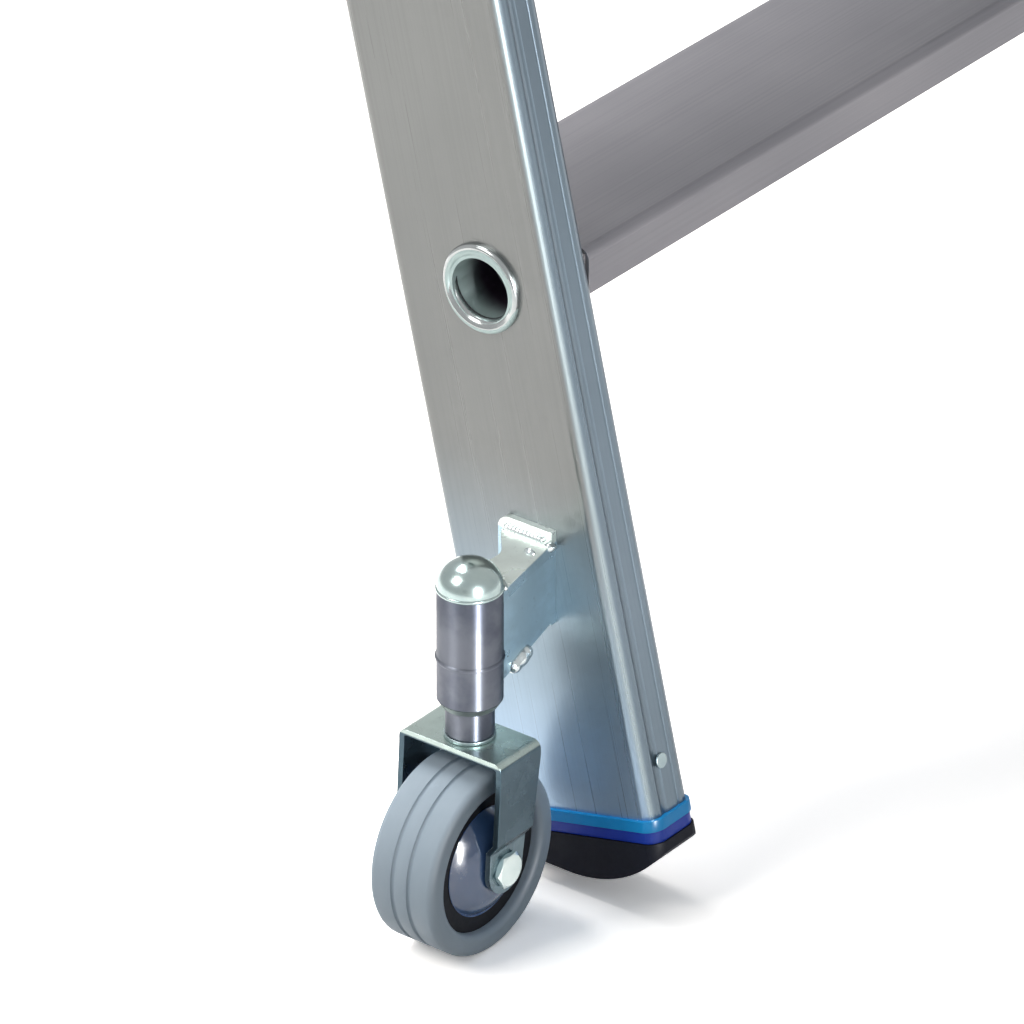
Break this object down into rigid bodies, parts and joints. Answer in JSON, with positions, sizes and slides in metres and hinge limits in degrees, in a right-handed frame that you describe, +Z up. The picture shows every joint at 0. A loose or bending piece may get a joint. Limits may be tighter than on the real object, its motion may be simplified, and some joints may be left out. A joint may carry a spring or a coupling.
{
  "type": "shelf ladder",
  "caption": "Leaning shelf ladder with wide treads, sprung swivel castors beside its rubber feet, and hooks at the top that slide along a rail.",
  "frame": {"origin": "on the axis of the rail that the ladder hangs on, halfway between its two hooks", "axes": "+X across the ladder along the rail, +Y towards the shelves, +Z up"},
  "size_m": [0.61, 0.6193, 2.0533],
  "materials": {
    "stile_aluminium": "satin anodised extrusion",
    "tread_aluminium": "satin anodised extrusion",
    "blue_plastic": "satin moulded plastic, lighter along the rim",
    "black_rubber": "matt moulded rubber",
    "grey_rubber": "matt non-marking rubber",
    "zinc_steel": "bright zinc plated pressed steel",
    "bright_steel": "polished plated steel",
    "spring_steel": "oiled spring steel",
    "black_plastic": "fine moulded plastic",
    "hub_plastic": "glossy grey cover",
    "bush_plastic": "smooth grey nylon",
    "hook_metal": "satin cut plate"
  },
  "bodies": {
    "ladder_frame": {"right_stile": "stile_aluminium", "right_foot_cap": "blue_plastic", "right_foot_sole": "black_rubber", "right_foot_pin": "zinc_steel", "right_top_cap": "blue_plastic", "right_rail_hook": "hook_metal", "right_hook_liner": "black_plastic", "right_castor_bracket": "zinc_steel", "right_bracket_rivets": "zinc_steel", "right_guide_tube": "bright_steel", "right_guide_bush": "bush_plastic", "right_guide_cap": "zinc_steel", "left_stile": "stile_aluminium", "left_foot_cap": "blue_plastic", "left_foot_sole": "black_rubber", "left_foot_pin": "zinc_steel", "left_top_cap": "blue_plastic", "left_rail_hook": "hook_metal", "left_hook_liner": "black_plastic", "left_castor_bracket": "zinc_steel", "left_bracket_rivets": "zinc_steel", "left_guide_tube": "bright_steel", "left_guide_bush": "bush_plastic", "left_guide_cap": "zinc_steel", "tread_1": "tread_aluminium", "tread_2": "tread_aluminium", "tread_3": "tread_aluminium", "tread_4": "tread_aluminium", "tread_5": "tread_aluminium", "tread_6": "tread_aluminium", "tread_7": "tread_aluminium", "hook_bolts": "zinc_steel", "hook_nuts": "zinc_steel"},
    "left_plunger_body": {"left_plunger": "bright_steel", "left_castor_spring": "spring_steel", "left_swivel_washer": "zinc_steel"},
    "left_fork_body": {"left_castor_fork": "zinc_steel", "left_axle_bolt": "zinc_steel", "left_axle_nut": "zinc_steel", "left_axle_sleeve": "bright_steel"},
    "left_wheel_body": {"left_wheel_rim": "black_plastic", "left_hub_caps": "hub_plastic", "left_tyre": "grey_rubber"},
    "right_plunger_body": {"right_plunger": "bright_steel", "right_castor_spring": "spring_steel", "right_swivel_washer": "zinc_steel"},
    "right_fork_body": {"right_castor_fork": "zinc_steel", "right_axle_bolt": "zinc_steel", "right_axle_nut": "zinc_steel", "right_axle_sleeve": "bright_steel"},
    "right_wheel_body": {"right_wheel_rim": "black_plastic", "right_hub_caps": "hub_plastic", "right_tyre": "grey_rubber"}
  },
  "joints": [
    {"name": "left_castor_plunger", "type": "slide", "parent": "ladder_frame", "child": "left_plunger_body", "axis": [0, 0, 1], "range_m": [0, 0.011], "stiffness_N_per_m": 8000, "springref_m": -0.01, "deforming": ["left_castor_spring"]},
    {"name": "left_castor_swivel", "type": "hinge", "parent": "left_plunger_body", "child": "left_fork_body", "pos_m": [-0.2625, -0.53406, -1.91987], "axis": [0, 0, 1], "continuous": true},
    {"name": "left_wheel_axle", "type": "hinge", "parent": "left_fork_body", "child": "left_wheel_body", "pos_m": [-0.2675, -0.53406, -1.96977], "axis": [0, 1, 0], "continuous": true},
    {"name": "right_castor_plunger", "type": "slide", "parent": "ladder_frame", "child": "right_plunger_body", "axis": [0, 0, 1], "range_m": [0, 0.011], "stiffness_N_per_m": 8000, "springref_m": -0.01, "deforming": ["right_castor_spring"]},
    {"name": "right_castor_swivel", "type": "hinge", "parent": "right_plunger_body", "child": "right_fork_body", "pos_m": [0.2625, -0.53406, -1.91987], "axis": [0, 0, 1], "continuous": true},
    {"name": "right_wheel_axle", "type": "hinge", "parent": "right_fork_body", "child": "right_wheel_body", "pos_m": [0.2675, -0.53406, -1.96977], "axis": [0, 1, 0], "continuous": true}
  ]
}
